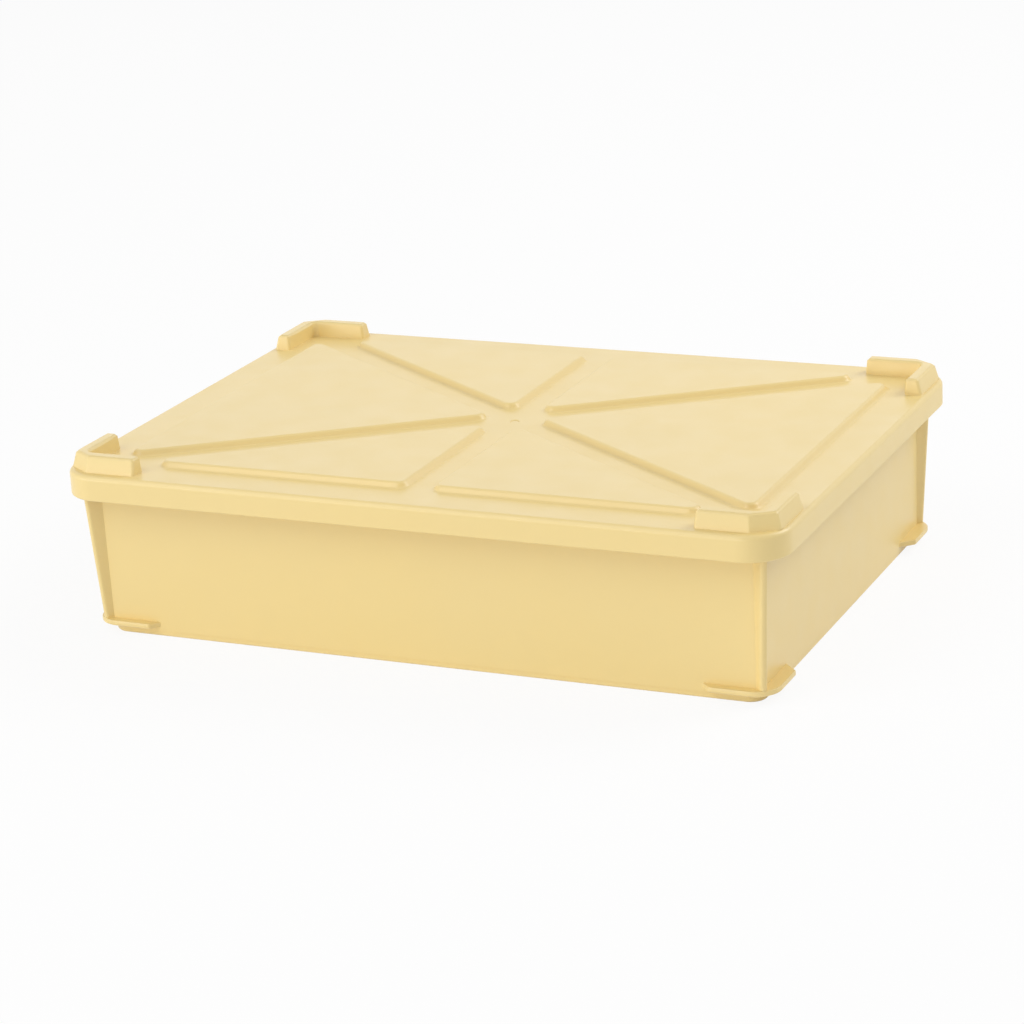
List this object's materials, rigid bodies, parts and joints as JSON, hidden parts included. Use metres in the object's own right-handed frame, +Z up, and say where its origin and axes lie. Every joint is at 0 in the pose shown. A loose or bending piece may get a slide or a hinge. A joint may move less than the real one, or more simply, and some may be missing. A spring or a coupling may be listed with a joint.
{
  "type": "dough proofing container",
  "caption": "Shallow rectangular stacking box for proofing dough, with corner fins and feet, and a drop-over lid with raised panels and corner upstands.",
  "frame": {"origin": "middle of the footprint, on the surface that the box stands on", "axes": "+X along the long side, -Y towards the front, +Z up"},
  "size_m": [0.6, 0.434, 0.151],
  "materials": {
    "cream_plastic": "satin, moulded, pale cream yellow"
  },
  "bodies": {
    "container": {"container": "cream_plastic"},
    "lid": {"lid": "cream_plastic"}
  },
  "joints": [
    {"name": "lid_lift", "type": "slide", "parent": "container", "child": "lid", "axis": [0, 0, 1], "range_m": [0, 0.15]}
  ]
}
